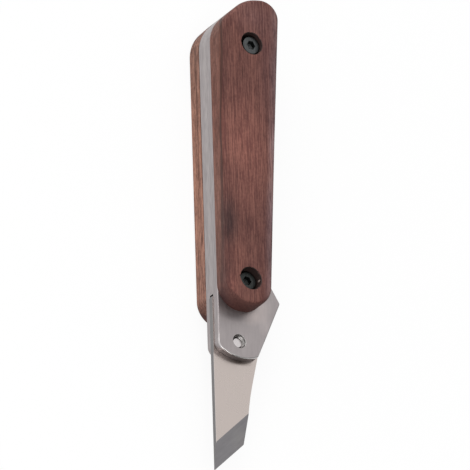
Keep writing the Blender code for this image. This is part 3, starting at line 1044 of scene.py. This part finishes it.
# %% [markdown]
# ## Finishes: metal
# All metal here is brushed steel in different shades, apart from the bronze washers. A bare outer arris is
# worn smooth and carries a painted highlight, so the plates shine round the nose and not along the wood.
# Painted sheen lies on the guard, and painted shadow just below the wood and under the nose. The blade's
# spine and the deep-set lower screws carry painted shade. The plates' edges were ground last, so they show
# sharper lines than the faces. Each could be a material built by hand, but one function makes them all, so
# that they match where they should.

# %% Steel finish
# A painted highlight for the bare arris, which is also worn smoother.
ARRIS_HIGHLIGHT = (0.78, 0.75, 0.74)


def steel_finish(name, shades, rough, turn=0.0, depth=0.002, lines=0.5, arris=None, patches=()):
    """Brushed steel between two shades and two roughnesses, with a share of sharp lines."""
    material, shader, where, place = new_finish(name, turn)
    marks = use_group(brush_group, Place=place, Lines=lines)
    # The patches on steel are painted sheen and painted shadow.
    colour = tint_stains_and_light(tint(marks["Tone"], *shades), where, patches)
    roughness = spread(marks["Roughness"], 0, 1, *rough)
    if arris:
        # The mask paints the highlight into the colour, and lowers the roughness where the arris is worn
        # smooth.
        sheen_mask = use_group(edge_group, Where=where, **arris)["Mask"]
        colour = tint(sheen_mask, colour, ARRIS_HIGHLIGHT)
        roughness = calc("SUBTRACT", roughness, product(sheen_mask, 0.2))
    feed_all(shader, {"Base Color": colour, "Roughness": roughness, "Metallic": 1})
    bumps(shader, marks["Height"], 0.4, depth)
    return material


print("steel finish ready")

# %% Plate and spacer steel
PLATE_SHADES = ((0.322, 0.291, 0.292), (0.4, 0.363, 0.362))
EDGE_SHADES = ((0.27, 0.243, 0.244), (0.452, 0.411, 0.41))
SPACER_SHADES = ((0.3, 0.272, 0.27), (0.485, 0.445, 0.44))
THREAD_SHADES = ((0.16, 0.15, 0.145), (0.46, 0.44, 0.43))
PLATE_ROUGH = (0.36, 0.48)
GROUND_LINES = 0.9
# Painted sheen on the guard and on the plate's right, standing for reflections, and painted shadow just
# below the wood.
GUARD_SHEEN = (1.3, 1.27, 1.24)
RIGHT_SHEEN = (1.18, 1.17, 1.16)
SHADOW_BELOW_WOOD = (0.76, 0.76, 0.77)
plate_sheen_shadow = [
    ((4.5, 10.5, 5.5, 4), GUARD_SHEEN),
    ((9, 15, 5, 7), GUARD_SHEEN),
    ((11, 7.8, 3.5, 5), RIGHT_SHEEN),
    ((-1.6, 9.4, 7.5, 2.2), SHADOW_BELOW_WOOD),
]
plate_finishes = []
for side, face, way in (("front", front_high, -1), ("back", back_low, 1)):
    nose = {"Face": face, "Way": way, "Width": 0.55, "Top": 3, "Strength": 1}
    steel = steel_finish(f"{side} plate", PLATE_SHADES, PLATE_ROUGH, arris=nose, patches=plate_sheen_shadow)
    edge = steel_finish(f"{side} plate edge", EDGE_SHADES, PLATE_ROUGH, lines=GROUND_LINES, arris=nose)
    plate_finishes.append((steel, edge))
spacer_steel = steel_finish("spacer", SPACER_SHADES, PLATE_ROUGH, lines=GROUND_LINES)
cut_thread = steel_finish("cut thread", THREAD_SHADES, (0.2, 0.35))

# %% Blade steel
blade_edge = {"Face": blade_high, "Way": -1, "Width": 0.11, "Top": -3, "Strength": 0.5}
# A painted shadow on the flat just below the plate's nose.
nose_shadow = [((1, -6.7, 6, 1.5), (0.5, 0.47, 0.45))]
FLAT_SHADES = ((0.512, 0.451, 0.421), (0.536, 0.47, 0.439))
blade_flat = steel_finish(
    "blade flat", FLAT_SHADES, (0.24, 0.32), depth=0.0003, arris=blade_edge, patches=nose_shadow
)
BEVEL_SHADES = ((0.275, 0.263, 0.275), (0.335, 0.323, 0.333))
bevel_sheen = [((1.5, -36.5, 6, 6), (1.08, 1.08, 1.05))]
blade_bevel = steel_finish("blade bevel", BEVEL_SHADES, (0.3, 0.4), SKEW, patches=bevel_sheen)
# The spine's dark shades are painted shade on the blade's narrow sides, lighter along the spine near the
# tail.
SPINE_SHADES = ((0.17, 0.165, 0.165), (0.23, 0.22, 0.22))
lighter_spine_near_tail = [((BLADE_SPINE, 6, 5, 22), (1.15, 1.15, 1.15))]
blade_spine = steel_finish("blade spine", SPINE_SHADES, (0.35, 0.5), patches=lighter_spine_near_tail)

# %% Small parts
bright_steel = steel_finish("bright steel", ((0.54, 0.505, 0.505), (0.66, 0.62, 0.62)), (0.18, 0.3))
black_oxide = steel_finish("black oxide", ((0.049, 0.052, 0.053), (0.117, 0.121, 0.123)), (0.3, 0.5))
# A darker copy of the black oxide, as painted shade for the lower screws that sit deep in their bores.
shaded_oxide = steel_finish("shaded black oxide", ((0.029, 0.031, 0.03), (0.076, 0.081, 0.079)), (0.4, 0.6))
bronze = steel_finish("washer bronze", ((0.42, 0.25, 0.11), (0.55, 0.34, 0.16)), (0.3, 0.45))

# %% [markdown]
# ## Putting the finishes on
# A mesh can carry several materials, and each face says by a number which of them it shows. Faces could be
# picked by hand in Edit Mode, but a rule about their place and direction still holds when a shape changes.

# %% Dressing tools
def dress(finish, *pieces):
    """Gives pieces one finish all over."""
    for piece in pieces:
        if not piece.material_slots:
            piece.data.materials.append(None)
        for place in piece.material_slots:
            place.material = finish


def dress_faces(finish, piece, chosen):
    """Adds one more finish, for the faces that a rule chooses."""
    piece.data.materials.append(finish)
    faces = [face for face in piece.data.polygons if chosen(face)]
    for face in faces:
        face.material_index = len(piece.data.materials) - 1
    print(f"{finish.name}: {len(faces)} faces of {piece.name}")


def flatness(face):
    """0 for a face that stands upright and 1 for one that lies flat."""
    return abs(face.normal.z)


print("dressing tools ready")

# %% Dress the scales
BORE_REACH = 4.4
BIG_FACE = 20


def in_a_bore(face):
    """On the wall or floor of a counterbore. The flat faces round the holes have many more corners."""
    near = False
    for x, y, _ in SCREWS.values():
        middle = Vector((pivot.x + x * MM, pivot.y + y * MM))
        near = near or (face.center.xy - middle).length < BORE_REACH * MM
    return near and len(face.vertices) < BIG_FACE


for scale, wood in ((front_scale, front_wood), (back_scale, back_wood)):
    dress(wood, scale)
    dress_faces(bore_wall, scale, in_a_bore)

# %% Dress the plates and the spacer
THREAD_REACH = 2.8


def on_the_edge(face):
    return flatness(face) < 0.3


def in_the_thread(face):
    """In the tapped hole, which keeps the bright metal of the cut."""
    return (face.center.xy - pivot.xy).length < THREAD_REACH * MM and flatness(face) < 0.95


for plate, (steel, edge) in zip((front_plate, back_plate), plate_finishes):
    dress(steel, plate)
    dress_faces(edge, plate, on_the_edge)
dress_faces(cut_thread, front_plate, in_the_thread)
dress(spacer_steel, frame["nodes"]["spine_spacer"])


# %% Dress the blade
def on_the_bevel(face):
    return face.normal.angle(bevel_facing) < math.radians(3)


def on_the_spine(face):
    """On an upright side, or on an arris that lies inside the handle."""
    inside = face.center.y > pivot.y + HANDLE_MOUTH * MM
    return flatness(face) < (0.9 if inside else 0.2)


dress(blade_flat, blade)
dress_faces(blade_bevel, blade, on_the_bevel)
dress_faces(blade_spine, blade, on_the_spine)

# %% Dress the small parts
for screw in scale_screws:
    dress(shaded_oxide if "lower" in screw.name else black_oxide, screw)
dress(bright_steel, pivot_screw, *[frame["nodes"][name + "_rivet"] for name in RIVETS])
dress(bronze, frame["nodes"]["front_washer"], frame["nodes"]["back_washer"])
print("finishes:", len(bpy.data.materials))

# %% [markdown]
# ## Floor, light and camera
# The picture is a product shot on white. The room is brightest above the butt and dims towards the blade's
# point, so the steel shades from one end to the other. Lamps alone would leave it black between their
# reflections. One large lamp lights the butt's side, and two faint cards the nose and the front. A long lens
# keeps edges parallel. The floor is white to the camera and keeps a faint shadow.

# %% Floor
FLOOR_SIZE = 4
FLOOR_GAP = 0.00005
FLOOR_GLOW = 0.9


def make_floor():
    """Just below the part. The camera and reflections see mostly its own glow."""
    mesh = bmesh.new()
    bmesh.ops.create_grid(mesh, x_segments=1, y_segments=1, size=FLOOR_SIZE)
    floor = piece_from("floor", mesh)
    floor.location.z = -FLOOR_GAP
    material = bpy.data.materials.new("white floor")
    material.use_nodes = True
    tree = material.node_tree
    shader = tree.nodes["Principled BSDF"]
    feed_all(shader, {"Base Color": (0.95, 0.95, 0.95), "Roughness": 1})
    glow = add(tree, "ShaderNodeEmission")
    mixed = add(tree, "ShaderNodeMixShader")
    rays = add(tree, "ShaderNodeLightPath")
    seen = calc("MAXIMUM", rays.outputs["Is Camera Ray"], rays.outputs["Is Glossy Ray"])
    feed(mixed.inputs["Fac"], product(seen, FLOOR_GLOW))
    feed(mixed.inputs[1], shader.outputs[0])
    feed(mixed.inputs[2], glow.outputs[0])
    feed(tree.nodes["Material Output"].inputs["Surface"], mixed.outputs[0])
    floor.data.materials.append(material)


make_floor()
print("floor of", 2 * FLOOR_SIZE, "m")

# %% Light
LAMP_AIM = Vector((0, 0, 0.01))
BRIGHT_SIDE = Vector((-0.3, 0.8, 0.52)).normalized()
DIMMEST, BRIGHTEST = 0.12, 1.08


def soft_light(name, place, width, height, power):
    lamp = bpy.data.lights.new(name, "AREA")
    lamp.shape = "ELLIPSE"
    lamp.size = width
    lamp.size_y = height
    lamp.energy = power
    holder = bpy.data.objects.new(name, lamp)
    scene.collection.objects.link(holder)
    holder.location = place
    holder.rotation_euler = (LAMP_AIM - Vector(place)).to_track_quat("-Z", "Y").to_euler()
    print("lamp:", name)


def make_world():
    """A white studio, brightest above the butt on the spine's side and dim towards the blade's point."""
    world = bpy.data.worlds.new("studio")
    scene.world = world
    world.use_nodes = True
    tree = world.node_tree
    direction = add(tree, "ShaderNodeTexCoord").outputs["Generated"]
    facing = calc_vector("DOT_PRODUCT", direction, BRIGHT_SIDE)
    glow = spread(facing, -0.35, 0.65, DIMMEST, BRIGHTEST)
    seen = add(tree, "ShaderNodeLightPath").outputs["Is Camera Ray"]
    strength = calc("MAXIMUM", glow, seen)
    feed_all(tree.nodes["Background"], {"Color": (1, 1, 1), "Strength": strength})


make_world()
soft_light("key", (-0.6, 1.1, 1.2), 1.2, 1.2, 8)
soft_light("nose card", (-0.45, -1.0, 0.62), 1.4, 0.3, 3.0)
soft_light("front card", (-0.35, -0.75, 1.0), 0.5, 0.25, 0.9)
scene.view_settings.view_transform = "Standard"

# %% Camera
TURN, TIP, ROLL = 30.72, 24.61, 1.74
PICTURE_PIXELS = 470
PIXELS_PER_MM = 2.7826
DISTANCE = 5.118
SENSOR = 36
AIM = Vector((0, 41.8, 0))
AIM_RIGHT, AIM_UP = 1.553, 1.52


def make_camera():
    """Set from the picture: how the knife is turned, tipped and rolled, and where it sits in the frame."""
    turn, tip, roll = (math.radians(angle) for angle in (TURN, TIP, ROLL))
    flat_right = Vector((math.cos(turn), 0, math.sin(turn)))
    towards = Vector((-math.sin(turn) * math.cos(tip), -math.sin(tip), math.cos(turn) * math.cos(tip)))
    flat_up = towards.cross(flat_right)
    right = flat_right * math.cos(roll) - flat_up * math.sin(roll)
    up = flat_right * math.sin(roll) + flat_up * math.cos(roll)
    middle = pivot + AIM * MM + (right * AIM_RIGHT + up * AIM_UP) * MM
    data = bpy.data.cameras.new("camera")
    data.sensor_width = SENSOR
    data.lens = SENSOR * DISTANCE * PIXELS_PER_MM / (PICTURE_PIXELS * MM)
    camera = bpy.data.objects.new("camera", data)
    scene.collection.objects.link(camera)
    camera.matrix_world = Matrix.LocRotScale(
        middle + towards * DISTANCE, Matrix((right, up, towards)).transposed().to_quaternion(), None
    )
    scene.camera = camera
    print("lens in mm:", round(data.lens))


make_camera()
